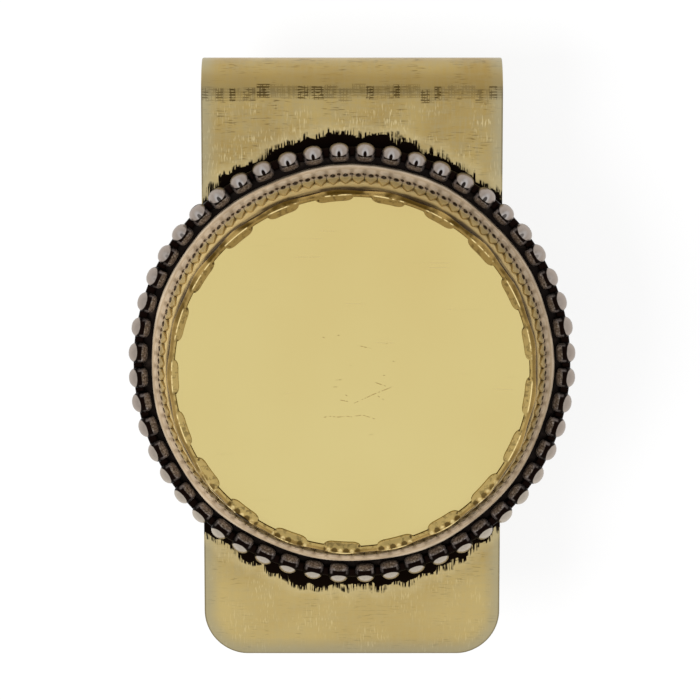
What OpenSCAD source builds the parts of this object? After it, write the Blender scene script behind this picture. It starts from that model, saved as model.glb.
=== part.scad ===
// Money clip: a folded metal strip whose back leg springs against its front leg. The front leg
// carries a round crown setting with a beaded border and a blank polished disc.
// The clip lies on its back, on the fold and the flared lip. +Z points out of the face, +Y to the
// fold and +X to the right. The origin is on the resting plane, under the middle of the setting.

/* [Strip] */
// Width of the strip
strip_w = 25.4; // [20:0.1:32]
// Thickness of the strip
strip_t = 0.8; // [0.6:0.05:1]
// Length from the fold to the open end of the front leg
clip_len = 51.2; // [46:0.1:62]
// Outer radius of the fold, half of the clip's thickness there
fold_r = 3.3; // [3:0.05:4]
// Radius of the corners at the open ends, seen from the front
corner_r = 3.8; // [1:0.1:6]

/* [Spring leg] */
// How far the lip's edge stops short of the front leg's open end
lip_inset = 1.6; // [0.5:0.1:4]
// Angle at which the lip flares away from the front leg
flare_angle = 32; // [24:1:42]
// Radius under the bend between the leg and the lip
bend_r = 6; // [4:0.1:8]
// Room between the bend and the front leg when the clip is empty
pinch_gap = 0.1; // [0.05:0.05:0.4]

/* [Base plate] */
// Thickness of the plate that is soldered to the strip
plate_t = 0.7; // [0.5:0.05:1]
// How far the plate reaches past the centre line of the beads
plate_lap = 0.3; // [0.1:0.05:0.5]

/* [Face disc] */
// Diameter of the polished disc
disc_d = 30; // [27:0.1:33]
// Thickness of the disc
disc_t = 1.6; // [1.2:0.1:2.4]
// Height of the bearer ring that carries the disc
bearer_h = 3; // [2.6:0.1:4]
// Radial width of the bearer ring
bearer_w = 1.2; // [0.8:0.1:2]

/* [Crown collet] */
// Thickness of the collet's wall and of its turned edge
wall_t = 0.35; // [0.3:0.05:0.5]
// Inward lean of the wall
wall_lean = 12.5; // [6:0.5:16]
// Room around the disc at the top of the wall
disc_fit = 0.08; // [0.02:0.02:0.2]
// Number of lobes turned over the disc
lobe_count = 21; // [15:1:25]
// Width of a lobe
lobe_w = 2.8; // [2:0.1:3.2]
// How far a lobe reaches in over the edge of the disc
lobe_reach = 0.5; // [0.3:0.05:1]
// How much thinner than the wall a lobe is burnished
lobe_thin = 0.07; // [0.06:0.01:0.15]
// Room between a lobe and the disc
lobe_fit = 0.02; // [0.01:0.01:0.04]
// Radius of the corners of a lobe
lobe_corner = 0.4; // [0.1:0.05:0.45]
// Turn of the first lobe from the right-hand side
lobe_turn = 9.6; // [0:0.1:24]

/* [Picot band] */
// Thickness of the pointed band around the collet
band_t = 0.25; // [0.15:0.05:0.4]
// Room between the band and the collet, filled with solder
band_fit = 0.03; // [0.02:0.01:0.06]
// Width of the round lip at the foot of the band
lip_w = 0.55; // [0.4:0.05:0.8]
// Height of the lip above the plate
lip_h = 1.15; // [0.9:0.05:1.4]
// Number of points around the band
point_count = 96; // [72:1:108]
// Height of the band above the top of the lip, up to the notches between its points
band_rise = 1.3; // [1:0.05:1.5]
// Length of a point
point_depth = 0.9; // [0.5:0.05:1.1]
// Width left flat at the tip of a point
point_flat = 0.16; // [0.1:0.02:0.3]
// Width left open at the bottom of the notch between two points
point_gap = 0.06; // [0.04:0.01:0.15]
// How far the points are set in from the faces of the band
point_inset = 0.03; // [0.02:0.01:0.04]
// Diameter of the hole pierced in each point
hole_d = 0.44; // [0.3:0.02:0.5]
// Height of the holes above the top of the lip
hole_rise = 0.4; // [0.3:0.05:0.6]

/* [Bead border] */
// Number of beads
bead_count = 52; // [44:1:56]
// Diameter of a bead
bead_d = 1.64; // [1.4:0.02:1.8]
// How far each bead is sunk into the plate's solder
bead_seat = 0.14; // [0.06:0.02:0.24]
// Dark groove between the lip and the beads
groove_w = 0.27; // [0.2:0.01:0.5]
// Width of the wire that joins the beads
wire_w = 0.8; // [0.6:0.05:1]
// Height of that wire above the plate
wire_h = 0.62; // [0.4:0.02:0.7]

/* [Hidden] */
$fn = 96;

// Degrees between the points of the leg's arcs, and of the small rounded edges
arc_step = 4;
edge_step = 15;
// Overshoot of a cutting tool past the face that it opens
over = 0.5;
// Length of a point's root inside the band
point_root = 0.3;

// Strip, in the plane of Y and Z
open_y = -clip_len / 2;
apex_y = clip_len / 2;
fold_y = apex_y - fold_r;
front_z = 2 * fold_r;
under_z = front_z - strip_t;

// Spring leg: the lip ends on the resting plane, and the leg runs from the fold to the bend
lip_run = (under_z - pinch_gap - strip_t - bend_r * (1 - cos(flare_angle))) / sin(flare_angle);
tip_y = open_y + lip_inset + strip_t * sin(flare_angle);
bend_y = tip_y + bend_r * sin(flare_angle) + lip_run * cos(flare_angle);
bend_z = under_z - pinch_gap - strip_t - bend_r;
cross_r = (fold_r - strip_t) + (bend_r + strip_t);
span = norm([fold_y - bend_y, fold_r - bend_z]);
leg_angle = asin(cross_r / span) - atan2(fold_r - bend_z, fold_y - bend_y);

// Setting, from the disc outward and from the plate upward
plate_z = front_z + plate_t;
disc_z = plate_z + bearer_h;
crown_z = disc_z + disc_t;
disc_r = disc_d / 2;
wall_top_in = disc_r + disc_fit;
wall_top_out = wall_top_in + wall_t / cos(wall_lean);
band_in = wall_top_out + band_fit / cos(wall_lean);
band_out = band_in + band_t / cos(wall_lean);
lip_z = plate_z + lip_h;
lip_r = cone(band_out, lip_z) + lip_w;
notch_z = lip_z + band_rise;
hole_z = lip_z + hole_rise;
beads_r = lip_r + groove_w + bead_d / 2;
bead_z = plate_z + bead_d / 2 - bead_seat;

// Radius at height z of a leaning wall that has radius r at the crown
function cone(r, z) = r + (crown_z - z) * tan(wall_lean);

// Points of an arc in a plane
function arc(centre, r, from, to, step = edge_step) =
    let (steps = ceil(abs(to - from) / step))
    [for (i = [0 : steps]) let (a = from + (to - from) * i / steps) centre + r * [cos(a), sin(a)]];

function reversed(points) = [for (i = [len(points) - 1 : -1 : 0]) points[i]];

// Carries an outline in Y and Z across the strip's width
module across_strip() {
    rotate([90, 0, 90])
        linear_extrude(height = strip_w, center = true)
            children();
}

// Quarter of the fold, from its apex to the front leg
module fold_quarter() {
    translate([-strip_w / 2, fold_y, fold_r])
        rotate([90, 0, 90])
            rotate_extrude(angle = 90)
                translate([fold_r - strip_t, 0])
                    square([strip_t, strip_w]);
}

// Rounds the two corners of a strip whose end is at y
module corner_cuts(y) {
    for (side = [0, 1])
        mirror([side, 0, 0])
            translate([strip_w / 2 - corner_r, y + corner_r, -over])
                linear_extrude(height = front_z + 2 * over)
                    difference() {
                        translate([0, -corner_r - over])
                            square(corner_r + over);
                        circle(corner_r);
                    }
}

// One face of the leg in side view, with its radii at the fold and at the bend
function leg_edge(at_fold, at_bend) = concat(
    arc([fold_y, fold_r], at_fold, -90, -90 - leg_angle, arc_step),
    arc([bend_y, bend_z], at_bend, 90 - leg_angle, 90 + flare_angle, arc_step),
    [[bend_y, bend_z] + at_bend * [-sin(flare_angle), cos(flare_angle)]
        - lip_run * [cos(flare_angle), sin(flare_angle)]]
);

module front_plate() {
    color("darkgoldenrod")
        union() {
            difference() {
                translate([-strip_w / 2, open_y, under_z])
                    cube([strip_w, fold_y - open_y, strip_t]);
                corner_cuts(open_y);
            }
            fold_quarter();
        }
}

module spring_leg() {
    under_face = leg_edge(fold_r, bend_r);
    upper_face = leg_edge(fold_r - strip_t, bend_r + strip_t);
    color("goldenrod")
        union() {
            difference() {
                across_strip()
                    polygon(concat(under_face, reversed(upper_face)));
                corner_cuts(open_y + lip_inset);
            }
            translate([0, 0, front_z])
                mirror([0, 0, 1])
                    fold_quarter();
        }
}

module base_plate() {
    color("dimgray")
        translate([0, 0, front_z])
            cylinder(r = beads_r + plate_lap, h = plate_t);
}

module bead_border() {
    color("gray")
        difference() {
            union() {
                translate([0, 0, plate_z])
                    rotate_extrude()
                        translate([beads_r - wire_w / 2, 0])
                            square([wire_w, wire_h]);
                for (i = [0 : bead_count - 1])
                    rotate((i + 0.5) * 360 / bead_count)
                        translate([beads_r, 0, bead_z])
                            sphere(d = bead_d);
            }
            translate([0, 0, plate_z - bead_d])
                cylinder(r = beads_r + bead_d, h = bead_d);
        }
}

// One point of the band: a flat leaf, inset in the band's top edge and leaning with the wall
module band_point() {
    leaf_w = 2 * PI * cone(band_in, notch_z) / point_count - point_gap;
    leaf_t = band_t - 2 * point_inset;
    rotate([0, -wall_lean, 0])
        rotate([90, 0, 90])
            linear_extrude(height = leaf_t, center = true)
                polygon([[-leaf_w / 2, -point_root], [leaf_w / 2, -point_root], [leaf_w / 2, 0],
                         [point_flat / 2, point_depth], [-point_flat / 2, point_depth],
                         [-leaf_w / 2, 0]]);
}

module picot_band() {
    lip_edge = arc([lip_r - lip_w / 2, lip_z - lip_w / 2], lip_w / 2, 0, 135);
    lip_foot = lip_edge[len(lip_edge) - 1].y;
    hole_from = cone(band_in, hole_z) - over;
    color("tan")
        union() {
            difference() {
                rotate(90 / point_count)
                    rotate_extrude()
                        polygon(concat(
                            [[cone(band_in, plate_z), plate_z], [lip_r, plate_z]],
                            lip_edge,
                            [[cone(band_out, lip_foot), lip_foot],
                             [cone(band_out, notch_z), notch_z],
                             [cone(band_in, notch_z), notch_z]]
                        ));
                for (i = [0 : point_count - 1])
                    rotate((i + 0.5) * 360 / point_count)
                        translate([hole_from, 0, hole_z])
                            rotate([0, 90, 0])
                                cylinder(d = hole_d, h = lip_r - hole_from);
            }
            for (i = [0 : point_count - 1])
                rotate((i + 0.5) * 360 / point_count)
                    translate([cone((band_in + band_out) / 2, notch_z), 0, notch_z])
                        band_point();
        }
}

// Outline of one lobe, pointing to the middle of the disc from the wall's turned edge
module lobe_outline() {
    corner = min(lobe_corner, lobe_reach);
    tip = disc_r - lobe_reach + corner;
    side = lobe_w / 2 - corner;
    root = wall_top_out - wall_t;
    polygon(concat(
        [[root, lobe_w / 2]],
        arc([tip, side], corner, 90, 180),
        arc([tip, -side], corner, 180, 270),
        [[root, -lobe_w / 2]]
    ));
}

module crown_collet() {
    color("khaki")
        union() {
            rotate_extrude()
                polygon(concat(
                    [[cone(wall_top_in, plate_z), plate_z], [cone(wall_top_out, plate_z), plate_z]],
                    arc([wall_top_out - wall_t, crown_z], wall_t, 0, 90),
                    [[disc_r, crown_z + wall_t], [disc_r, crown_z], [wall_top_in, crown_z]]
                ));
            for (i = [0 : lobe_count - 1])
                rotate(lobe_turn + i * 360 / lobe_count)
                    translate([0, 0, crown_z + lobe_fit])
                        linear_extrude(height = wall_t - lobe_thin)
                            lobe_outline();
        }
}

module bearer_ring() {
    color("peru")
        translate([0, 0, plate_z])
            rotate_extrude()
                translate([disc_r - bearer_w, 0])
                    square([bearer_w, bearer_h]);
}

module face_disc() {
    color("gold")
        translate([0, 0, disc_z])
            cylinder(r = disc_r, h = disc_t);
}

front_plate();
spring_leg();
base_plate();
bead_border();
picot_band();
crown_collet();
bearer_ring();
face_disc();
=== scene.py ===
import math

import bmesh
import bpy
import numpy as np
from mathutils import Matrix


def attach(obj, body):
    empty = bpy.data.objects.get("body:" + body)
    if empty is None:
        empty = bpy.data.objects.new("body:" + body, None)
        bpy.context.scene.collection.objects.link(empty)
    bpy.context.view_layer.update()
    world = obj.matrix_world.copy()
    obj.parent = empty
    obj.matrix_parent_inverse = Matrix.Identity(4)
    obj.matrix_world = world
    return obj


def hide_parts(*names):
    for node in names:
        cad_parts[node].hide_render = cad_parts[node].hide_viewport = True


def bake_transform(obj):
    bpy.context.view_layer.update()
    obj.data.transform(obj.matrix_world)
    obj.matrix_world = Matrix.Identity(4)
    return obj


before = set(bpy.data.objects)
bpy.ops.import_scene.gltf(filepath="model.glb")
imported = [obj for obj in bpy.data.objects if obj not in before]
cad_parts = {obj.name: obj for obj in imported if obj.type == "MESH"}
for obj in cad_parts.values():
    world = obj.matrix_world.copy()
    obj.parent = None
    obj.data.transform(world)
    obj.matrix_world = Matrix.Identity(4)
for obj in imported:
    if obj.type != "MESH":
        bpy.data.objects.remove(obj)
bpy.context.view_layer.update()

mm = 0.001  # sizes below are in millimetres
scene = bpy.context.scene
scene.view_settings.view_transform = "Standard"
print("frame:", len(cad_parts), "nodes")


class Wire:
    # A socket of a node tree; expressions on it add Math nodes
    def __init__(self, tree, socket=None):
        self.tree = tree
        self.socket = socket

    # Any node: its type, its settings first, then the values or links of its sockets; gives one output
    def node(self, kind, settings={}, sockets={}, output=0):
        made = self.tree.nodes.new("ShaderNode" + kind)
        for key, value in settings.items():
            setattr(made, key, value)
        for key, value in sockets.items():
            if isinstance(value, Wire):
                self.tree.links.new(value.socket, made.inputs[key])
            else:
                made.inputs[key].default_value = value
        return Wire(self.tree, made.outputs[output] if len(made.outputs) else None)

    def maths(self, operation, *values):
        return self.node("Math", {"operation": operation}, dict(enumerate(values)))

    def __add__(self, other):
        return self.maths("ADD", self, other)

    def __sub__(self, other):
        return self.maths("SUBTRACT", self, other)

    def __rsub__(self, other):
        return self.maths("SUBTRACT", other, self)

    def __mul__(self, other):
        return self.maths("MULTIPLY", self, other)

    def __truediv__(self, other):
        return self.maths("DIVIDE", self, other)

    def __rtruediv__(self, other):
        return self.maths("DIVIDE", other, self)

    def __pow__(self, other):
        return self.maths("POWER", self, other)

    def __abs__(self):
        return self.maths("ABSOLUTE", self)

    __radd__ = __add__
    __rmul__ = __mul__

    # The larger of this value and another
    def larger(self, other):
        return self.maths("MAXIMUM", self, other)

    # What is left over the whole number below
    def fraction(self):
        return self.maths("FRACT", self)

    # 0 at low, 1 at high, with an S-shaped step between them
    def step(self, low, high):
        return self.node("MapRange", {"interpolation_type": "SMOOTHSTEP"},
                         {"Value": self, "From Min": low, "From Max": high})

    # The first colour where this value is 0, the second where it is 1
    def tint(self, first, second):
        return self.node("Mix", {"data_type": "RGBA"}, {0: self, 6: first, 7: second}, 2)


# Display colour 0-255 to the linear colour a shader takes: ((c + 0.055) / 1.055) ^ 2.4 above the toe
def colour(red, green, blue):
    shown = np.array([red, green, blue]) / 255
    return (*np.where(shown > 0.04045, ((shown + 0.055) / 1.055) ** 2.4, shown / 12.92), 1.0)


# The cleared node tree of a material or world
def emptyTree(owner):
    owner.use_nodes = True
    owner.node_tree.nodes.clear()
    return Wire(owner.node_tree)


# A material from the sockets that recipe(paint) gives for the Principled shader
def makeFinish(name, recipe):
    material = bpy.data.materials.new(name)
    paint = emptyTree(material)
    shader = paint.node("BsdfPrincipled", {}, recipe(paint))
    paint.node("OutputMaterial", {}, {"Surface": shader})
    return material


# Object coordinates: the vector in metres for the grain, and x, y, z in mm
def placeOf(paint):
    place = paint.node("TexCoord", output="Object")
    return place, [place.node("SeparateXYZ", {}, {"Vector": place}, axis) / mm for axis in range(3)]


# Noise of about the given size in mm, stretched by a factor along each axis
def grain(place, size, detail=3, rough=0.55, stretch=(1, 1, 1)):
    scale = tuple(1 / (size * mm * s) for s in stretch)
    moved = place.node("Mapping", {}, {"Vector": place, "Scale": scale})
    sockets = {"Vector": moved, "Scale": 1.0, "Detail": detail, "Roughness": rough}
    return place.node("TexNoise", {}, sockets)


# Relief of a depth in mm where the height goes from 0 to 1
def relief(height, depth):
    return height.node("Bump", {}, {"Height": height, "Distance": depth * mm, "Strength": 1.0})


# Place within one of n equal shares of a turn, from -0.5 to 0.5 of a share: frac(n a / 2 pi + shift) - 0.5
def withinShare(x, y, count, shift=0.0):
    turned = x.maths("ARCTAN2", y, x) * (count / (2 * math.pi)) + (count + shift)
    return turned.fraction() - 0.5


# Quads of a grid of points; a closed direction joins its last line to its first
def gridQuads(rows, cols, closeRows=False, closeCols=False):
    across, down = np.arange(cols - (not closeCols)), np.arange(rows - (not closeRows))
    r, c = np.meshgrid(down, across, indexing="ij")
    below, beside = (r + 1) % rows, (c + 1) % cols
    quads = [r * cols + c, below * cols + c, below * cols + beside, r * cols + beside]
    return np.stack(quads, -1).reshape(-1, 4)


# A closed mesh at the origin from points in mm and faces, smooth but for edges sharper than the angle
def makePiece(name, points, faces, material, slotName, sharp=38):
    mesh = bpy.data.meshes.new(name)
    mesh.from_pydata((points * mm).tolist(), [], faces)
    shell = bmesh.new()
    shell.from_mesh(mesh)
    bmesh.ops.recalc_face_normals(shell, faces=shell.faces)
    shell.to_mesh(mesh)
    shell.free()
    mesh.polygons.foreach_set("use_smooth", np.ones(len(mesh.polygons), bool))
    mesh.set_sharp_from_angle(angle=math.radians(sharp))
    mesh.materials.append(material)
    piece = bpy.data.objects.new(name, mesh)
    scene.collection.objects.link(piece)
    print(name + ":", len(mesh.polygons), "faces")
    return piece


# An arc in a plane: centre + r (cos a, sin a) for a from first to last, in degrees
def arcLine(centre, r, first, last, count):
    a = np.radians(np.linspace(first, last, count))
    return np.stack([centre[0] + r * np.cos(a), centre[1] + r * np.sin(a)], -1)


# A closed outline of (r, z) carried round the Z axis: (r cos a, r sin a, z)
def turnRing(outline, count):
    a = np.linspace(0, 2 * np.pi, count, endpoint=False)[:, None]
    r, z = outline[None, :, 0], outline[None, :, 1]
    points = np.stack(np.broadcast_arrays(r * np.cos(a), r * np.sin(a), z), -1)
    return points.reshape(-1, 3), gridQuads(count, len(outline), True, True)


# A profile of (r, z) that starts and ends on the Z axis, carried round it, with a fan at each end
def turnSolid(profile, count):
    a = np.linspace(0, 2 * np.pi, count, endpoint=False)
    ring = profile[1:-1]
    points = np.stack([ring[:, None, 0] * np.cos(a), ring[:, None, 0] * np.sin(a),
                       np.broadcast_to(ring[:, None, 1], (len(ring), count))], -1).reshape(-1, 3)
    first, last = len(points), len(points) + 1
    points = np.concatenate([points, [[0, 0, profile[0, 1]], [0, 0, profile[-1, 1]]]])
    here = np.arange(count)
    after = (here + 1) % count
    top = (len(ring) - 1) * count
    fans = np.concatenate([np.stack([np.full(count, first), after, here], -1),
                           np.stack([np.full(count, last), here + top, after + top], -1)])
    return points, gridQuads(len(ring), count, False, True).tolist() + fans.tolist()


# Several point sets and face lists as one: each set's faces move up by the points before it
def joinParts(parts):
    starts = np.cumsum([0] + [len(part[0]) for part in parts])
    faces = [[i + start for i in face] for start, part in zip(starts, parts) for face in part[1]]
    return np.concatenate([part[0] for part in parts]), faces


# Where everything stands in the setting, from the plate up and from the disc out
stack = {"plateZ": 7.3, "discZ": 10.3, "crownZ": 11.9, "discR": 15.0, "lean": 12.5,
         "wallIn": 15.08, "wallOut": 15.4385, "bandIn": 15.4692, "bandOut": 15.7253}


# Radius at height z of a leaning wall that has radius r at the crown: r + (crown - z) tan(lean)
def leanRadius(r, z):
    return r + (stack["crownZ"] - z) * math.tan(math.radians(stack["lean"]))


strip = {"width": 25.4, "thick": 0.8, "corner": 3.8, "edge": 0.13, "endY": -25.6,
         "foldY": 22.3, "foldR": 3.3, "bend": (-14.014, -1.1), "bendR": 6.0, "legAngle": 7.82,
         "flare": 32, "lipRun": 7.526, "reflectionY": 22.9, "reflectionHalf": 0.62, "reflectionShift": 0.5,
         "cell": 1.15, "barPitch": 0.22, "shadeY": 24, "ringShadowR": 19.3, "ringShadowRagged": 2.4,
         "brass": colour(188, 165, 106), "worn": colour(178, 163, 122), "brown": colour(170, 143, 84),
         "bright": colour(214, 196, 146), "glow": colour(210, 187, 124), "grey": colour(176, 168, 138),
         "wearAndShadeDark": colour(60, 42, 12), "ringShadow": colour(20, 12, 7)}


# Distance in from the strip's rounded outline: R - sqrt(q^2 + w^2) with q, w out from an inset rectangle
def insetOf(x, y):
    q = (abs(x) - (strip["width"] / 2 - strip["corner"])).larger(0)
    w = (strip["endY"] + strip["corner"] - y).larger(0)
    return strip["corner"] - (q * q + w * w) ** 0.5


# Distance beyond the ragged edge of the painted shadow and reflection of the setting, a circle a little wider
# to the open end and narrower at the sides
def beyondRingShadow(place, x, y):
    ragged = (x * x + y * y) ** 0.5 - strip["ringShadowR"]
    ragged = ragged + (grain(place, 1.7, 3, 0.6) - 0.5) * strip["ringShadowRagged"]
    return ragged - y.step(0, -12) * 0.4 + abs(x).step(3, 11) * 0.45


# Painted dark reflection where the fold meets the flat, as dashes: cells across the strip, each with its own
# length, strength and shift drawn from its number, filled with bars at an even pitch and broken posts
def foldReflectionDashes(place, x, y):
    column = x / strip["cell"] + 40  # kept above 0
    cell = column.maths("FLOOR", column)
    length, strength, shift = [cell.node("TexWhiteNoise", {"noise_dimensions": "1D"}, {"W": cell + draw})
                               for draw in (0.2, 0.4, 0.6)]
    along = column - cell
    block = along.step(0, 0.08) * (along - length * 0.6 - 0.4).step(0.04, -0.04)
    block = block * strength.step(0.1, 0.9)
    away = abs(y - strip["reflectionY"] + (shift - 0.5) * strip["reflectionShift"])
    bars = abs((y / strip["barPitch"] + 200).fraction() - 0.5).step(0.38, 0.24)
    bars = bars * grain(place, 0.25, 0, 0.5, (2, 0.5, 1)).step(0.3, 0.5)
    posts = grain(place, 0.11, 0, 0.5, (1, 12, 12)).step(0.52, 0.62)
    marks = (bars * (block * 0.7 + 0.3)).larger(posts * (block * 0.4 + 0.3))
    return away.step(strip["reflectionHalf"], strip["reflectionHalf"] - 0.12) * marks


# Satin brass: blotches, strokes along and across, paler to the open end and the left edge as painted light,
# grey towards the outline, a painted line of shade along the outline, a painted band of shade near the fold,
# painted dark dashes for the reflection where the fold meets the flat, and a painted black shadow and
# reflection of the setting round it, with a comb of fine teeth and a bright border
def stripFinish(paint):
    place, (x, y, z) = placeOf(paint)
    sunk = 2 * strip["foldR"] - z
    face = sunk.step(0.3, 0.1)
    blotch = grain(place, 7, 4).step(0.3, 0.7)
    along = grain(place, 0.3, 2, 0.6, (1, 7, 7))
    down = grain(place, 0.3, 2, 0.6, (7, 1, 7))
    lines = (along.step(0.35, 0.75) + down.step(0.35, 0.75)) * 0.5
    base = blotch.tint(strip["brass"], strip["brown"])
    base = (lines * 0.7).tint(base, strip["worn"])
    strokes = grain(place, 0.12, 1, 0.5, (8, 1, 1)).step(0.56, 0.68)
    strokes = strokes * grain(place, 2.0, 2).step(0.45, 0.65)
    base = (strokes * 0.55).tint(base, strip["wearAndShadeDark"])
    ticks = grain(place, 0.12, 1, 0.5, (1, 6, 1)).step(0.55, 0.68)
    ticks = ticks * grain(place, 2.6, 2).step(0.4, 0.65)
    base = (ticks * y.step(22.5, 21.5) * 0.9).tint(base, strip["bright"])
    inset = insetOf(x, y)
    rim = inset.step(1.6, 0.1)
    # painted light: paler towards the open end and the left edge, less so near the outline
    pale = y.step(-16, -21) * (0.5 - rim * 0.3) + x.step(-9, -12) * 0.15
    base = pale.tint(base, strip["glow"])
    base = (rim * 0.7).tint(base, strip["grey"])
    # painted shade: a thin dark line along the outline of the front face
    base = (inset.step(0.18, 0.05) * sunk.step(0.7, 0.2) * 0.5).tint(base, strip["wearAndShadeDark"])
    beyond = beyondRingShadow(place, x, y)
    base = (beyond.step(1.5, 0.3) * face * (0.2 + down * 0.5)).tint(base, strip["bright"])
    shade = abs(y - strip["shadeY"]).step(1.3, 0.2) * 0.5
    base = shade.tint(base, strip["brown"])
    # painted reflection: dark dashes in a band where the fold meets the flat
    base = (foldReflectionDashes(place, x, y) * sunk.step(1.4, 1.0) * 0.85).tint(base, strip["wearAndShadeDark"])
    # painted shadow and reflection of the setting: black inside the ragged circle, fraying into a comb of
    # fine teeth
    comb = grain(place, 0.13, 0, 0.5, (1, 14, 1)).step(0.44, 0.58) * beyond.step(0.55, 0.25)
    ringShadow = beyond.step(0.12, 0).larger(comb) * face
    base = ringShadow.tint(base, strip["ringShadow"])
    rough = 0.30 + blotch * 0.06 + lines * 0.08 + ringShadow * 0.25
    height = lines + grain(place, 2.2, 3) * 0.8
    return {"Base Color": base, "Metallic": 1.0, "Roughness": rough, "Normal": relief(height, 0.006)}


# Half the strip's width at a distance from its open end: W/2 - R + sqrt(R^2 - (R - u)^2)
def halfWidth(u):
    short = np.clip(strip["corner"] - u, 0, strip["corner"])
    return strip["width"] / 2 - strip["corner"] + np.sqrt(strip["corner"] ** 2 - short ** 2)


# A rounded rectangle carried along the strip's centre line: centre + x across + n outward
def sweepStrip(line, outward, fromEnd):
    edge, half = strip["edge"], strip["thick"] / 2
    nose = np.clip(edge - fromEnd, 0, edge)
    ease = edge - np.sqrt(edge ** 2 - nose ** 2)
    turn = np.radians(np.concatenate([np.linspace(q, q + 90, 6) for q in (0, 90, 180, 270)]))
    signX = np.repeat([1, -1, -1, 1], 6)
    signN = np.repeat([1, 1, -1, -1], 6)
    wide = (halfWidth(fromEnd) - edge)[:, None]
    deep = (half - edge - ease)[:, None]
    x = signX * wide + edge * np.cos(turn)
    n = signN * deep + edge * np.sin(turn)
    y = line[:, None, 0] + outward[:, None, 0] * n
    z = line[:, None, 1] + outward[:, None, 1] * n
    points = np.stack([x, y, z], -1).reshape(-1, 3)
    rows, cols = len(line), len(turn)
    caps = [list(range(cols)), list(range((rows - 1) * cols, rows * cols))]
    return points, gridQuads(rows, cols, False, True).tolist() + caps


# Distances from the open end, close together in the rounded nose and the corner: e (1 - cos t), R (1 - cos t)
def endSteps(length, count):
    nose = strip["edge"] * (1 - np.cos(np.linspace(0, np.pi / 2, 5)))
    corner = strip["corner"] * (1 - np.cos(np.linspace(0.35, np.pi / 2, 22)))
    return np.concatenate([nose, corner, np.linspace(strip["corner"], length, count)[1:]])


foldMidR = strip["foldR"] - strip["thick"] / 2
foldCentre = (strip["foldY"], strip["foldR"])


# Front leg, straight and then round the fold to its apex: centre line, outward direction and distance from
# the open end
def frontPath(foldCount=25):
    length = strip["foldY"] - strip["endY"]
    run = endSteps(length, 30)
    flat = np.stack([strip["endY"] + run, np.full(len(run), strip["foldR"] + foldMidR)], -1)
    line = np.concatenate([flat, arcLine(foldCentre, foldMidR, 90, 0, foldCount)[1:]])
    upward = np.tile([0.0, 1.0], (len(run), 1))
    outward = np.concatenate([upward, arcLine((0, 0), 1, 90, 0, foldCount)[1:]])
    return line, outward, np.concatenate([run, np.full(foldCount - 1, length)])


# Back leg, from the flared lip over the bend, straight, and round the fold to its apex: the same three
def backPath(bendCount=24, legCount=50, foldCount=40):
    tilt, flare = strip["legAngle"], strip["flare"]
    lipDir = np.array([math.cos(math.radians(flare)), math.sin(math.radians(flare))])
    bend = arcLine(strip["bend"], strip["bendR"] + strip["thick"] / 2, 90 + flare, 90 - tilt, bendCount)
    bendOut = -arcLine((0, 0), 1, 90 + flare, 90 - tilt, bendCount)
    run = endSteps(strip["lipRun"], 6)[:-1]
    lip = bend[0] - (strip["lipRun"] - run)[:, None] * lipDir
    fold = arcLine(foldCentre, foldMidR, -90 - tilt, 0, foldCount)
    foldOut = arcLine((0, 0), 1, -90 - tilt, 0, foldCount)
    leg = bend[-1] + np.linspace(0, 1, legCount)[1:-1, None] * (fold[0] - bend[-1])
    line = np.concatenate([lip, bend, leg, fold])
    outward = np.concatenate([np.tile(bendOut[0], (len(lip), 1)), bendOut,
                              np.tile(bendOut[-1], (len(leg), 1)), foldOut])
    fullWidth = np.full(len(line) - len(run), strip["width"])
    return line, outward, np.concatenate([run * lipDir[0], fullWidth])


stripMetal = makeFinish("satinBrass", stripFinish)
frontStrip = makePiece("frontStrip", *sweepStrip(*frontPath()), stripMetal, "strip")
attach(frontStrip, "front_body")
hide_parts("front_plate")

backStrip = makePiece("backStrip", *sweepStrip(*backPath()), stripMetal, "strip")
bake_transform(backStrip)
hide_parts("spring_leg")

plate = {"black": colour(20, 11, 7), "grey": colour(62, 50, 42)}


# Black oxide, worn to grey in patches where the grain is high
def plateFinish(paint):
    place = placeOf(paint)[0]
    worn = grain(place, 1.2, 4, 0.6).step(0.52, 0.8)
    fine = grain(place, 0.25, 2)
    return {"Base Color": worn.tint(plate["black"], plate["grey"]), "Metallic": 0.8,
            "Roughness": 0.42 + fine * 0.2, "Normal": relief(fine + worn, 0.02)}


plateMetal = makeFinish("blackPatina", plateFinish)
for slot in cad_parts["base_plate"].material_slots:
    slot.material = plateMetal
print("base plate finished")

beads = {"count": 52, "radius": 18.13, "across": 0.89, "along": 0.82, "height": 7.98, "rise": 0.82,
         "square": 3.2, "plain": 2.2, "seed": 7, "vary": 0.02, "slip": 0.004,
         "wireWidth": 0.8, "wireTop": 7.86, "wireRound": 0.2,
         "cap": colour(166, 154, 144), "worn": colour(190, 180, 165), "side": colour(148, 137, 132),
         "shine": colour(214, 212, 212), "oxideAndReflection": colour(22, 13, 10)}
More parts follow.
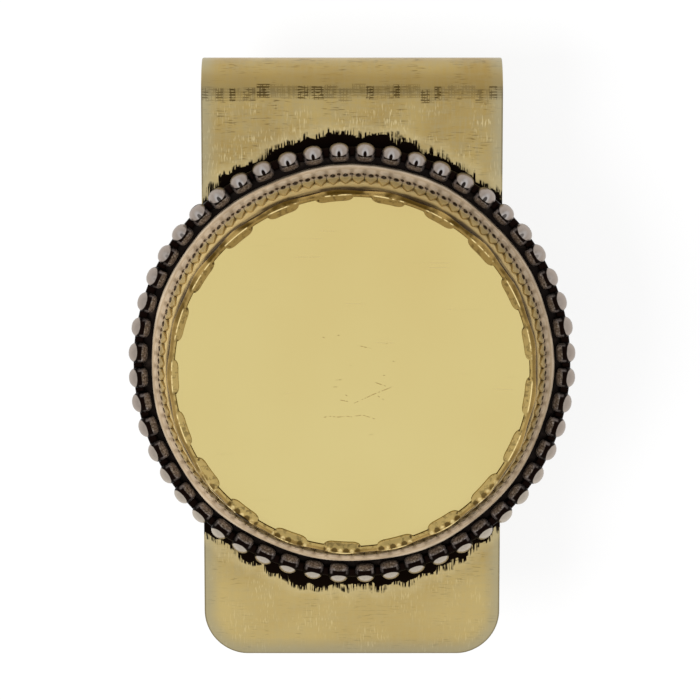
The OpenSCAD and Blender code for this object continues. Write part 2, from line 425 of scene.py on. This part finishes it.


# Each bead in (outward, sideways) around its middle: a pale outer cap as an ellipse, worn polish and a
# painted reflection of the bright surroundings, larger on the fold side and paler and narrower at the open
# end as painted light, and a mottled inner face with two short arms, oxide and a painted reflection with
# painted highlight specks; the rest is black oxide, with a painted dark reflection mark and a painted
# highlight border on the fold side
def beadFinish(paint):
    place, (x, y, z) = placeOf(paint)
    pitch = 2 * math.pi * beads["radius"] / beads["count"]
    out = ((x * x + y * y) ** 0.5 - beads["radius"]) / beads["along"]
    side = withinShare(x, y, beads["count"]) * (pitch / beads["across"])
    beside = abs(side)
    speck = grain(place, 0.16, 3, 0.6)
    wobble = (grain(place, 0.5, 2) - 0.5) * 0.5
    fold = y.step(3, 17)
    foot = y.step(-3, -17)
    raised = z.step(7.9, 8.02)
    # painted light: the cap is made larger on the fold side and narrower at the open end
    length = (out - 0.58 + fold * 0.24) / (0.5 + fold * 0.13)
    cap = (length ** 2 + (side / (0.9 - foot * 0.12)) ** 2 + wobble * 0.6).step(1.12, 0.9) * raised
    # the inner face and its arms: oxide paler in mottles and partly a painted reflection of the gold wall
    # beside it; the specks of shine are painted highlights
    inner = (abs(out + 0.70) + wobble * 0.15).step(0.36, 0.26) * beside.step(0.98, 0.86) * raised
    arms = beside.step(0.6, 0.76) * beside.step(0.98, 0.86) * out.step(0.1, -0.15) * out.step(-1.05, -0.9)
    base = (inner * (speck.step(0.2, 0.6) * 0.75 + 0.2 + fold * 0.1)).tint(beads["oxideAndReflection"], beads["side"])
    base = (arms * raised * (speck * 1.3 + 0.1)).tint(base, beads["side"])
    base = (inner * speck.step(0.52, 0.66) * 0.6).tint(base, beads["shine"])
    # the cap: worn polish that also stands as a painted reflection of the bright surroundings, paler towards
    # the open end as painted light
    base = cap.tint(base, foot.tint(beads["cap"], beads["worn"]))
    base = (cap * speck.step(0.5, 0.75) * 0.35).tint(base, beads["side"])
    # painted reflection: a dark mark on the caps on the fold side, with a painted highlight round it
    reflectionMark = ((side / 0.17) ** 2 + ((out + 0.1) / 0.34) ** 2) ** 0.5
    base = (reflectionMark.step(2.6, 1.3) * cap * fold * 0.5).tint(base, beads["shine"])
    base = (reflectionMark.step(1.2, 0.8) * fold * raised).tint(base, beads["oxideAndReflection"])
    rough = 0.42 - cap * 0.12 + speck * 0.1
    return {"Base Color": base, "Metallic": 1.0, "Roughness": rough, "Normal": relief(speck, 0.012)}


# Beads as domes cut flat at the plate, round at the top and squarer at the foot, most on the inner side; in
# (outward, sideways) the outline at each height is (sin d cos^p t, sin d sin^p t)
def beadPoints(rows=15, cols=24):
    count, radius, height, rise = (beads[key] for key in ("count", "radius", "height", "rise"))
    dice = np.random.default_rng(beads["seed"])
    size = 1 + dice.uniform(-beads["vary"], beads["vary"], (count, 1, 1))
    slip = dice.uniform(-beads["slip"], beads["slip"], (count, 1, 1))
    lowest = math.acos((stack["plateZ"] - height) / rise)
    down = np.linspace(0, lowest, rows)[1:][None, :, None]
    around = np.linspace(0, 2 * np.pi, cols, endpoint=False)[None, None, :]
    cosine, sine = np.cos(around), np.sin(around)
    square = np.where(cosine < 0, beads["square"], beads["plain"])
    power = 2 / (2 + (square - 2) * np.clip(down / (np.pi / 2), 0, 1))
    out = radius + size * beads["along"] * np.sin(down) * np.sign(cosine) * np.abs(cosine) ** power
    side = size * beads["across"] * np.sin(down) * np.sign(sine) * np.abs(sine) ** power
    up = np.maximum(height + size * rise * np.cos(down) + 0 * around, stack["plateZ"])
    a = ((np.arange(count) + 0.5) * 2 * np.pi / count)[:, None, None] + slip
    walls = np.stack([out * np.cos(a) - side * np.sin(a), out * np.sin(a) + side * np.cos(a),
                      np.broadcast_to(up, out.shape)], -1).reshape(count, -1, 3)
    tops = np.concatenate([radius * np.cos(a), radius * np.sin(a), height + size * rise], -1)
    points = np.concatenate([walls, tops], 1)
    here = np.arange(cols)
    fan = np.stack([np.full(cols, (rows - 1) * cols), here, (here + 1) % cols], -1)
    starts = (np.arange(count) * ((rows - 1) * cols + 1))[:, None, None]
    quads = (gridQuads(rows - 1, cols, False, True)[None] + starts).reshape(-1, 4)
    fans = (fan[None] + starts).reshape(-1, 3)
    feet = (here[None] + (rows - 2) * cols + starts[:, 0]).tolist()
    return points.reshape(-1, 3), quads.tolist() + fans.tolist() + feet


# The wire under the beads: a flat foot and a top with two quarter rounds
def wireOutline():
    inR, outR = beads["radius"] - beads["wireWidth"] / 2, beads["radius"] + beads["wireWidth"] / 2
    bow, top = beads["wireRound"], beads["wireTop"] - beads["wireRound"]
    return np.concatenate([[[inR, stack["plateZ"]], [outR, stack["plateZ"]]],
                           arcLine((outR - bow, top), bow, 0, 90, 5),
                           arcLine((inR + bow, top), bow, 90, 180, 5)])


beadMetal = makeFinish("oxidisedSilver", beadFinish)
beadParts = joinParts([beadPoints(), turnRing(wireOutline(), 312)])
beadBorder = makePiece("beadBorder", *beadParts, beadMetal, "beads")
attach(beadBorder, "front_body")
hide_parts("bead_border")

band = {"count": 96, "thick": 0.25, "lipTop": 8.45, "lipR": 17.043, "lipEdge": 0.2, "lipLevel": 0.1,
        "bendR": 16.4, "footZ": 8.0, "sweepZ": 8.82, "swell": 0.06, "overlap": 0.02,
        "edgeWaves": ((0.06, 5, 1), (0.05, 11, 2)),
        "rise": 1.3, "point": 0.8, "flat": 0.14, "gap": 0.05, "slit": 0.004, "shoulder": 0.55,
        "hole": 0.2, "holeTall": 0.27, "holeZ": 9.1, "dome": 0.04, "sink": 0.13,
        "nick": 0.2, "nickFoot": 0.25, "nickRise": 0.16, "nickSlope": 0.22,
        "dotR": 16.2, "dotWide": 0.23, "dotTall": 0.39, "dotZ": 9.18,
        "nookWide": 0.19, "nookTall": 0.22, "nookZ": 8.93, "swellR": 16.6,
        "rose": colour(188, 165, 134), "pale": colour(216, 198, 172), "gold": colour(216, 192, 132),
        "olive": colour(172, 146, 90), "dirtAndShade": colour(70, 50, 26)}


# Rose brass at the lip that turns to gold and then duller on the points, darker towards the open end as
# painted shade, with painted shade in the holes, in the nooks between petals, on a line above the holes and
# in the valleys of the lip, dark seams between petals, painted highlights on the swellings of the lip, and
# blotches of dirt
def bandFinish(paint):
    place, (x, y, z) = placeOf(paint)
    out = (x * x + y * y) ** 0.5
    pitch = 2 * math.pi * band["dotR"] / band["count"]
    side = withinShare(x, y, band["count"]) * pitch
    between = withinShare(x, y, band["count"], 0.5) * pitch
    blotch = grain(place, 1.6, 4).step(0.35, 0.75)
    fine = grain(place, 0.2, 2)
    base = z.step(9.2, 9.8).tint(band["rose"], band["gold"])
    base = (out.step(16.86, 16.98) * 0.7).tint(base, band["pale"])
    # painted shade: a dark line above the holes, for the step of a ridge
    base = (abs(z - 9.56).step(0.09, 0.02) * 0.35).tint(base, band["dirtAndShade"])
    # painted shade: the points olive, darker towards the open end
    dull = y.step(-7, -12).tint(band["olive"], band["dirtAndShade"])
    base = (z.step(9.6, 9.8) * 0.85).tint(base, dull)
    # painted shade: dark ellipses round the holes
    dot = (side / band["dotWide"]) ** 2 + ((z - band["dotZ"]) / band["dotTall"]) ** 2
    base = dot.step(1.25, 0.9).tint(base, band["dirtAndShade"])
    # painted shade: dark nooks between the petals at their feet
    over = (z - band["nookZ"]) / band["nookTall"]
    nook = (between / band["nookWide"] + over * 0.4) ** 2 + over * over
    base = nook.step(1.2, 0.7).tint(base, band["dirtAndShade"])
    seam = abs(between).step(0.0684, 0.0266) * z.step(8.9, 9.0) * z.step(9.8, 9.6)
    base = (seam * 0.5).tint(base, band["dirtAndShade"])
    # painted highlight: pale swellings on the lip beside each hole
    swell = (side / 0.451) ** 2 + ((out - band["swellR"]) / 0.2) ** 2
    base = (swell.step(1.1, 0.2) * 0.45).tint(base, band["pale"])
    # painted shade: the valleys between the swellings on the lip
    valley = abs(between).step(0.266, 0.038) * out.step(16.45, 16.55) * out.step(16.85, 16.7)
    base = (valley * 0.3).tint(base, band["dirtAndShade"])
    base = (fine.step(0.5, 0.7) * out.step(15.9, 16.2) * 0.35).tint(base, band["pale"])
    base = (blotch * 0.25).tint(base, band["dirtAndShade"])
    return {"Base Color": base, "Metallic": 0.55, "Roughness": 0.42 + fine * 0.14,
            "Normal": relief(fine + blotch, 0.012)}


# Distance from a petal's hole to its outline in each direction: the nearest crossing of a ray with a side
def petalReach(corners, angles):
    tiny, far = 1e-9, 1e9
    slack = 1e-6  # a ray through a corner still counts
    first, second = corners, np.roll(corners, -1, 0)
    ray = np.stack([np.cos(angles), np.sin(angles)], -1)[:, None]
    side = (second - first)[None]
    cross = ray[..., 0] * side[..., 1] - ray[..., 1] * side[..., 0]
    cross = np.where(np.abs(cross) < tiny, tiny, cross)
    away = (first[None, :, 0] * side[..., 1] - first[None, :, 1] * side[..., 0]) / cross
    along = (first[None, :, 0] * ray[..., 1] - first[None, :, 1] * ray[..., 0]) / cross
    hit = (away > 0) & (along > -slack) & (along < 1 + slack)
    return np.where(hit, away, far).min(1)


# Corners of a petal in (sideways, up the wall) from its hole: nicked foot, straight sides, blunt point
def petalCorners():
    slope = math.radians(stack["lean"])
    half = math.pi * leanRadius(stack["bandOut"], band["holeZ"]) / band["count"] - band["slit"]
    notch = (band["lipTop"] + band["rise"] - band["holeZ"]) / math.cos(slope)
    foot = (band["sweepZ"] - band["nickFoot"] - band["holeZ"]) / math.cos(slope)
    nickTop = (band["sweepZ"] + band["nickRise"] - band["holeZ"]) / math.cos(slope)
    right = [[half - band["nick"], foot], [half - band["nick"], nickTop],
             [half, nickTop + band["nickSlope"]], [half, notch * band["shoulder"]],
             [half - band["gap"] / 2, notch], [band["flat"] / 2, notch + band["point"]]]
    return np.array(right + [[-s, h] for s, h in right[::-1]])


# Petals of the band: rings from the hole to the outline, inner + part (reach - inner), domed outward, laid on
# the leaning wall and closed behind
def petalPoints():
    slope = math.radians(stack["lean"])
    holeR = leanRadius(stack["bandOut"], band["holeZ"])
    corners = petalCorners()
    cornerAngles = np.arctan2(corners[:, 1], corners[:, 0]) % (2 * np.pi)
    evenAngles = np.linspace(0, 2 * np.pi, 24, endpoint=False)
    angles = np.unique(np.round(np.concatenate([evenAngles, cornerAngles]), 5))
    reach = petalReach(corners, angles)
    inner = 1 / np.sqrt((np.cos(angles) / band["hole"]) ** 2 + (np.sin(angles) / band["holeTall"]) ** 2)
    part = np.array([0, 0.12, 0.4, 0.75, 1.0])[:, None]
    away = inner + part * (reach - inner)
    lift = band["dome"] * np.sin(np.pi * np.clip(part * 0.85 + 0.1, 0, 1)) - band["overlap"]
    frontS, frontH = away * np.cos(angles), away * np.sin(angles)
    s = np.concatenate([frontS, frontS[[-1, 0]]])
    h = np.concatenate([frontH, frontH[[-1, 0]]])
    sunk = band["sink"] * np.clip(frontH / corners[:, 1].max(), 0, 1) ** 2
    out = np.concatenate([lift - sunk, np.full((2, len(angles)), -band["thick"])])
    z = band["holeZ"] + h * math.cos(slope) + out * math.sin(slope)
    r = holeR - h * math.sin(slope) + out * math.cos(slope)
    a = ((np.arange(band["count"]) + 0.5) * 2 * np.pi / band["count"])[:, None, None] + s / holeR
    points = np.stack([r * np.cos(a), r * np.sin(a), np.broadcast_to(z, a.shape)], -1)
    rows, cols = s.shape
    starts = (np.arange(band["count"]) * rows * cols)[:, None, None]
    quads = gridQuads(rows, cols, True, True)[None] + starts
    return points.reshape(-1, 3), quads.reshape(-1, 4).tolist()


lipFlat = np.array([band["lipR"] - band["lipEdge"] - band["lipLevel"], band["lipTop"]])
lipWall = np.array([leanRadius(stack["bandOut"], band["sweepZ"]) + band["overlap"], band["sweepZ"]])


# Lip outline: a rounded edge, then a hollow curve flat + (t, t^2) (wall - flat) up to the petals
def lipOutline():
    edge, bottom = band["lipEdge"], stack["plateZ"]
    t = np.linspace(0, 1, 9)[:, None]
    curve = lipFlat + np.concatenate([t, t ** 2], 1) * (lipWall - lipFlat)
    return np.concatenate([[[leanRadius(stack["bandIn"], band["footZ"]), bottom], [band["lipR"], bottom]],
                           arcLine((band["lipR"] - edge, band["lipTop"] - edge), edge, 0, 90, 7), curve,
                           [[leanRadius(stack["bandIn"], band["sweepZ"]), band["sweepZ"]]]])


# The hand-cut edge: r + s times the sum of size sin(waves a + start), with s from 0 to 1 over the lip, and a
# swelling beside each hole: z + b sin^2(pi t) (1 - cos(n a)) / 2 with t from 0 to 1 over the hollow curve
def wander(points):
    r, a = np.hypot(points[:, 0], points[:, 1]), np.arctan2(points[:, 1], points[:, 0])
    share = np.clip((r - band["bendR"]) / (band["lipR"] - band["bendR"]), 0, 1)
    uneven = sum(size * np.sin(waves * a + start) for size, waves, start in band["edgeWaves"])
    grow = 1 + share * uneven / r
    t = np.clip((lipFlat[0] - r) / (lipFlat[0] - lipWall[0]), 0, 1)
    lift = band["swell"] * np.sin(np.pi * t) ** 2 * (1 - np.cos(band["count"] * a)) / 2
    return np.stack([points[:, 0] * grow, points[:, 1] * grow, points[:, 2] + lift], -1)


bandMetal = makeFinish("roseBrass", bandFinish)
lipPoints, lipFaces = turnRing(lipOutline(), 6 * band["count"])
bandParts = joinParts([(wander(lipPoints), lipFaces), petalPoints()])
picotBand = makePiece("picotBand", *bandParts, bandMetal, "rose_brass", 50)
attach(picotBand, "front_body")
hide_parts("picot_band")

crown = {"count": 21, "turn": 9.6, "seed": 11, "width": 3.0, "reach": 0.5, "short": 0.1, "corner": 0.75,
         "varyWidth": (-0.07, 0.07), "varyReach": (-0.14, 0.08), "skew": (-0.09, 0.09),
         "rim": 0.35, "dip": 0.1, "bulge": 0.16, "tip": 0.16, "tipRound": 0.07, "clear": 0.012,
         "dots": 96, "dotR": 15.22, "highlightR": 15.08, "highlightOut": 0.36, "endR": 14.82,
         "dentTurn": 233.4, "dentR": 15.55, "dentLong": 0.82, "dentWide": 0.3,
         "gold": colour(214, 186, 124), "rimShade": colour(176, 146, 86), "olive": colour(160, 132, 74),
         "pale": colour(196, 170, 106), "bright": colour(246, 222, 158), "dirtAndShade": colour(64, 46, 16),
         "darkOlive": colour(82, 60, 16), "dent": colour(48, 36, 12)}


# The dirty dent low on the left: an ellipse in (round, outward) about its middle, bent along the rim
def dentMask(x, y):
    middle = math.radians(crown["dentTurn"])
    east, north = math.cos(middle), math.sin(middle)
    aside = y * east - x * north
    outward = x * east + y * north - crown["dentR"] + aside * aside / (2 * crown["dentR"])
    return ((aside / crown["dentLong"]) ** 2 + (outward / crown["dentWide"]) ** 2).step(1.15, 0.8)


# Painted highlight lines and glints on the lobes, a painted reflection of the band's holes as dark dots in a
# row on the lower ones, and dark spots at the ends of the lobes; aside is the distance from a lobe's middle
# in shares of a turn
def lobeMarks(x, y, z, out, top, blotch):
    aside = abs(withinShare(x, y, crown["count"], 0.5 - crown["count"] * crown["turn"] / 360))
    under, crest = y.step(-7, -11), z.step(11.9, 12.0)
    # painted highlight: a thin line along each lobe, and glints between the dots on the lower lobes
    highlightLine = abs(out - crown["highlightR"] - under * crown["highlightOut"]).step(0.07, 0.03)
    highlightLine = highlightLine * aside.step(0.33, 0.25) * top.step(0, 0.1).larger(under * crest)
    # painted reflection of the band's holes: dark dots in a row on the lower lobes
    row = (out - crown["dotR"]) ** 2
    holeReflection = (withinShare(x, y, crown["dots"]) ** 2 + row) ** 0.5
    glint = (withinShare(x, y, crown["dots"], 0.5) ** 2 + row) ** 0.5
    rowed = aside.step(0.36, 0.32) * under * crest
    paintedHighlight = highlightLine.larger(glint.step(0.24, 0.1) * rowed * 0.7)
    ends = (((aside - 0.325) / 0.024) ** 2 + ((out - crown["endR"]) / 0.11) ** 2).step(1.2, 0.7)
    return paintedHighlight, (holeReflection.step(0.3, 0.2) * rowed).larger(ends * blotch.step(0.42, 0.5) * crest)


# Yellow brass, duller and mottled on the lobes and painted darker towards the fold side as shade, with a rim
# painted darker as shade, darker at the lobes' edges, dark olive patches on the rim, and a wall that is
# bright above the petals as a painted highlight, dark under the rim, and painted dark as shade below the
# petals' holes
def crownFinish(paint):
    place, (x, y, z) = placeOf(paint)
    out = (x * x + y * y) ** 0.5
    high = z.step(11.6, 11.8)
    top = out.step(15.15, 15.0) * high
    wall = z.step(11.75, 11.35)
    blotch = grain(place, 0.9, 4, 0.6)
    fine = grain(place, 0.18, 2)
    # painted shade: the lobes pale towards the open end and olive towards the fold side
    lobe = y.step(-2, 11).tint(crown["pale"], crown["olive"])
    # painted shade: the rim darker than the wall
    base = top.tint(high.tint(crown["gold"], crown["rimShade"]), lobe)
    paintedHighlight, darkSpots = lobeMarks(x, y, z, out, top, blotch)
    # painted reflection of the band's holes as dark dots on the lower lobes, and dark spots at the lobes'
    # ends
    base = (darkSpots * 0.8).tint(base, crown["dirtAndShade"])
    edges = z.step(12.02, 11.93) * high
    base = (edges * 0.75 + blotch.step(0.55, 0.8) * 0.2).tint(base, crown["dirtAndShade"])
    mottle = grain(place, 0.4, 3, 0.6).step(0.5, 0.64)
    base = (top * mottle * 0.5).tint(base, crown["dirtAndShade"])
    # dark olive patches high on the wall, stronger on the fold side
    patch = grain(place, 2.6, 3).step(0.38, 0.56) * (0.45 + y.step(0, 10) * 0.5)
    base = (z.step(10.6, 11.4) * (1 - top) * patch).tint(base, crown["darkOlive"])
    base = (z.step(10.9, 11.5) * wall * 0.7).tint(base, crown["dirtAndShade"])
    # painted shade: the wall dark below the petals' points, where it shows through the holes and nooks
    base = z.step(9.4, 9.15).tint(base, crown["dirtAndShade"])
    # painted highlight: the wall bright behind the gaps between the petals' points
    base = (z.step(10.9, 10.1) * z.step(9.4, 9.65) * 0.6).tint(base, crown["bright"])
    # painted highlight lines and glints on the lobes
    base = (paintedHighlight * grain(place, 0.7, 2).step(0.36, 0.5)).tint(base, crown["bright"])
    base = (dentMask(x, y) * z.step(11.3, 11.5)).tint(base, crown["dent"])
    rough = 0.20 + fine * 0.12 + top * 0.06 + wall * 0.2
    return {"Base Color": base, "Metallic": 1 - wall * 0.5, "Roughness": rough,
            "Normal": relief(fine + blotch * 1.5, 0.012)}


# Collet: at each angle a wall, a rounded rim that swells at the lobes, and a lobe that ends in quarter
# ellipses, sqrt(1 - bow^2), each a little different in width, length and place
def crownPoints(perLobe=48):
    count = crown["count"] * perLobe
    a = np.arange(count) * 2 * np.pi / count
    pitch = 2 * np.pi / crown["count"]
    fromFirst = a - math.radians(crown["turn"]) + pitch / 2
    offset = fromFirst % pitch - pitch / 2
    which = (fromFirst // pitch).astype(int) % crown["count"]
    dice = np.random.default_rng(crown["seed"])
    wide = crown["width"] * (1 + dice.uniform(*crown["varyWidth"], crown["count"]))[which]
    long = crown["reach"] * (1 + dice.uniform(*crown["varyReach"], crown["count"]))[which]
    skew = dice.uniform(*crown["skew"], crown["count"])[which]
    aside = np.abs(offset * stack["discR"] + skew)
    bow = np.clip((aside - wide / 2 + crown["corner"]) / crown["corner"], 0, 1)
    lobe = np.sqrt(1 - bow ** 2)
    tip = stack["discR"] - crown["short"] - (long - crown["short"]) * lobe
    rim = crown["rim"] - crown["dip"] * (1 - lobe)
    swell = crown["bulge"] * (np.cos(np.pi * offset / pitch) ** 2 - 0.3)
    topZ, outR = stack["crownZ"], stack["wallOut"]
    wallZ = np.append(np.linspace(stack["plateZ"], 10.9, 4), 11.5)[:, None]
    wallR = leanRadius(outR, wallZ)
    rounding = np.radians(np.linspace(0, 100, 9))[:, None]
    rimR = outR - crown["rim"] + crown["rim"] * np.cos(rounding) + swell
    rimZ = topZ + rim * np.sin(rounding)
    inward = np.array([0.25, 0.5, 0.75, 0.92])[:, None]
    flatR = rimR[-1] + inward * (tip - rimR[-1])
    flatZ = rimZ[-1] + inward ** 1.3 * (topZ + crown["tip"] - rimZ[-1])
    edge = np.radians(np.array([60, 20, -30, -80]))[:, None]
    tipR = tip + crown["tipRound"] * (1 - np.cos(edge))
    tipZ = topZ + crown["clear"] + crown["tip"] * 0.5 * (1 + np.sin(edge)) + 0 * a
    under = np.array([[stack["discR"], topZ + crown["clear"]], [stack["wallIn"], topZ - 0.05]])
    insideZ = np.linspace(stack["discZ"], stack["plateZ"], 3)
    inside = np.stack([leanRadius(stack["wallIn"], insideZ), insideZ], -1)
    back = np.concatenate([under, inside])
    r = np.concatenate([wallR + 0 * a, rimR, flatR, tipR, back[:, :1] + 0 * a])
    z = np.concatenate([wallZ + 0 * a, rimZ, flatZ, tipZ, back[:, 1:] + 0 * a])
    points = np.stack([r * np.cos(a), r * np.sin(a), z], -1).reshape(-1, 3)
    return points, gridQuads(len(r), count, True, True).tolist()


crownMetal = makeFinish("yellowBrass", crownFinish)
crownCollet = makePiece("crownCollet", *crownPoints(), crownMetal, "collet", 50)
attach(crownCollet, "front_body")
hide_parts("crown_collet")

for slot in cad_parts["bearer_ring"].material_slots:
    slot.material = crownMetal
print("bearer ring finished")

disc = {"crownRise": 0.07, "edge": 0.16, "clear": 0.01,
        "scratchHalf": 0.055, "scratchCore": 0.015, "scratchBlur": 0.08,
        "gold": colour(216, 199, 136), "warm": colour(206, 180, 112), "scratch": colour(150, 122, 60),
        "scratches": (  # x, y of each one's two ends
            (-2.35, -3.77, -1.9, -3.67), (-1.9, -3.67, -1.17, -3.75), (-1.17, -3.75, -0.42, -3.67),
            (-0.42, -3.67, 0.12, -3.77), (0.28, -3.66, 0.87, -3.58), (0.87, -3.58, 1.9, -3.9),
            (0.12, -2.6, 1.73, -1.84), (1.73, -1.84, 3.34, -1.18), (1.95, -0.8, 2.8, -1.1),
            (-0.96, -2.3, -0.36, -2.41), (2.16, -1.95, 2.65, -2.25), (-1.55, -1.18, -1.23, -1.18),
            (-1.28, -0.58, -0.85, -0.58), (0.44, 2.36, 1.55, 2.1), (-2.45, 3.05, -2.3, 3.0),
            (-1.25, 3.22, -1.05, 3.2), (-0.2, 0.66, -0.08, 0.63), (2.8, 2.52, 3.05, 2.5),
            (3.4, 1.02, 3.6, 0.98), (2.6, -0.18, 2.75, -0.2), (-0.55, -1.85, -0.35, -1.98),
            (1.5, -5.27, 1.7, -5.22))}


# A worn stroke from one point to another: 1 within its half width, broken along its length by the given grain
def stroke(x, y, ends, gaps):
    blur = disc["scratchBlur"]
    first, last = np.array(ends[:2]), np.array(ends[2:])
    length = float(np.linalg.norm(last - first))
    east, north = ((last - first) / length).tolist()
    right, up = x - float(first[0]), y - float(first[1])
    along, away = right * east + up * north, abs(up * east - right * north)
    across = away.step(disc["scratchHalf"], disc["scratchCore"])
    return across * along.step(-blur, blur) * along.step(length + blur, length - blur) * gaps


# Polished gold, warmer and darker towards the fold side as painted shade, with fine wipe marks and a few
# hairline scratches
def discFinish(paint):
    place, (x, y, z) = placeOf(paint)
    cloud = grain(place, 14, 2).step(0.3, 0.75)
    wipe = grain(place, 0.35, 2, 0.6, (1, 16, 1))
    hair = grain(place, 0.22, 1, 0.5, (22, 1, 1)).step(0.72, 0.78)
    # painted shade: warmer and darker towards the fold side, over random clouds
    base = (cloud * 0.2 + y.step(-4, 15) * 0.25).tint(disc["gold"], disc["warm"])
    gaps = grain(place, 0.17, 1).step(0.4, 0.56) * z.step(11.8, 11.9)
    worn = sum(stroke(x, y, ends, gaps) for ends in disc["scratches"])
    base = (worn * 0.7).tint(base, disc["scratch"])
    rough = 0.13 + cloud * 0.04 + wipe * 0.05 + hair * 0.1
    return {"Base Color": base, "Metallic": 1.0, "Roughness": rough,
            "Normal": relief(wipe * 0.5 + hair, 0.0015)}


# Disc profile: a shallow dome h (1 - (r/R)^2) over a straight edge with a small round
def discProfile():
    faceR, edge, topZ = stack["discR"] - disc["clear"], disc["edge"], stack["crownZ"]
    span = np.linspace(0, faceR - edge, 24)
    dome = np.stack([span, topZ + disc["crownRise"] * (1 - (span / faceR) ** 2)], -1)[::-1]
    return np.concatenate([[[0, stack["discZ"]], [faceR, stack["discZ"]]],
                           arcLine((faceR - edge, topZ - edge), edge, 0, 80, 7), dome])


discMetal = makeFinish("polishedGold", discFinish)
faceDisc = makePiece("faceDisc", *turnSolid(discProfile(), 192), discMetal, "disc")
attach(faceDisc, "front_body")
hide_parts("face_disc")

studio = {"floorSize": 3000, "floorZ": -6.2, "floorTone": (0.93, 0.93, 0.93, 1), "white": 0.85,
          "keyPlace": (-320, -60, 420), "keySize": 260, "keyPower": 2.2, "light": (1, 1, 1, 1),
          "sky": 0.82, "horizon": 1.0, "overhead": 1.0,
          "dark": 0.12, "darkTilt": 22, "darkWide": 13, "darkCore": 5.85}

floorMesh = bpy.data.meshes.new("floor")
half = studio["floorSize"] / 2 * mm
floorZ = studio["floorZ"] * mm  # clear of the leg when it is open
floorMesh.from_pydata([(-half, -half, floorZ), (half, -half, floorZ), (half, half, floorZ),
                       (-half, half, floorZ)], [], [(0, 1, 2, 3)])
floorMaterial = bpy.data.materials.new("paleFloor")
floorPaint = emptyTree(floorMaterial)
seen = sum(floorPaint.node("LightPath", output="Is " + ray + " Ray")
           for ray in ("Camera", "Glossy", "Transmission"))
matt = floorPaint.node("BsdfDiffuse", {}, {"Color": studio["floorTone"]})
floorGlow = floorPaint.node("Emission", {}, {"Color": studio["light"], "Strength": 1.0})
mixed = floorPaint.node("MixShader", {}, {0: seen * studio["white"], 1: matt, 2: floorGlow})
floorPaint.node("OutputMaterial", {}, {"Surface": mixed})
floorMesh.materials.append(floorMaterial)
floor = bpy.data.objects.new("floor", floorMesh)
scene.collection.objects.link(floor)

# Soft tent: grey sky, white towards the horizon and overhead, with one dark card high on the fold side
world = bpy.data.worlds.new("tent")
scene.world = world
air = emptyTree(world)
toward = air.node("TexCoord", output="Generated")
upward = toward.node("SeparateXYZ", {}, {"Vector": toward}, 2)
cardTilt = math.radians(studio["darkTilt"])
facing = toward.node("VectorMath", {"operation": "DOT_PRODUCT"},
                     {0: toward, 1: (0, math.sin(cardTilt), math.cos(cardTilt))}, "Value")
card = facing.step(*[math.cos(math.radians(studio[key])) for key in ("darkWide", "darkCore")])
tent = studio["sky"] + upward.step(0.55, 0.1) * (studio["horizon"] - studio["sky"])
tent = tent + upward.step(0.85, 0.97) * (studio["overhead"] - studio["sky"])
tent = tent * (1 - card * (1 - studio["dark"]))
direct = air.node("LightPath", output="Is Camera Ray")
strength = tent + direct * (1 - tent)
skyGlow = air.node("Background", {}, {"Color": studio["light"], "Strength": strength})
air.node("OutputWorld", {}, {"Surface": skyGlow})

keyLight = bpy.data.lights.new("softKey", "AREA")
keyLight.size = studio["keySize"] * mm
keyLight.energy = studio["keyPower"]
key = bpy.data.objects.new("softKey", keyLight)
key.location = [v * mm for v in studio["keyPlace"]]
key.visible_glossy = False  # metal mirrors the tent alone
scene.collection.objects.link(key)
bpy.context.view_layer.update()
key.rotation_euler = (-key.location).to_track_quat("-Z", "Y").to_euler()
print("studio lit")

lens = {"tilt": 10, "distance": 300, "aim": (-0.169, 1.95, 11.9), "focal": 184.6, "sensor": 36}
cameraData = bpy.data.cameras.new("camera")
cameraData.lens = lens["focal"]
cameraData.sensor_width = lens["sensor"]
cameraData.clip_start = 0.01
camera = bpy.data.objects.new("camera", cameraData)
tilt = math.radians(lens["tilt"])
away = lens["distance"] * np.array([0, math.sin(tilt), math.cos(tilt)])
camera.location = (np.array(lens["aim"]) + away) * mm
camera.rotation_euler = (-tilt, 0, 0)
scene.collection.objects.link(camera)
scene.camera = camera
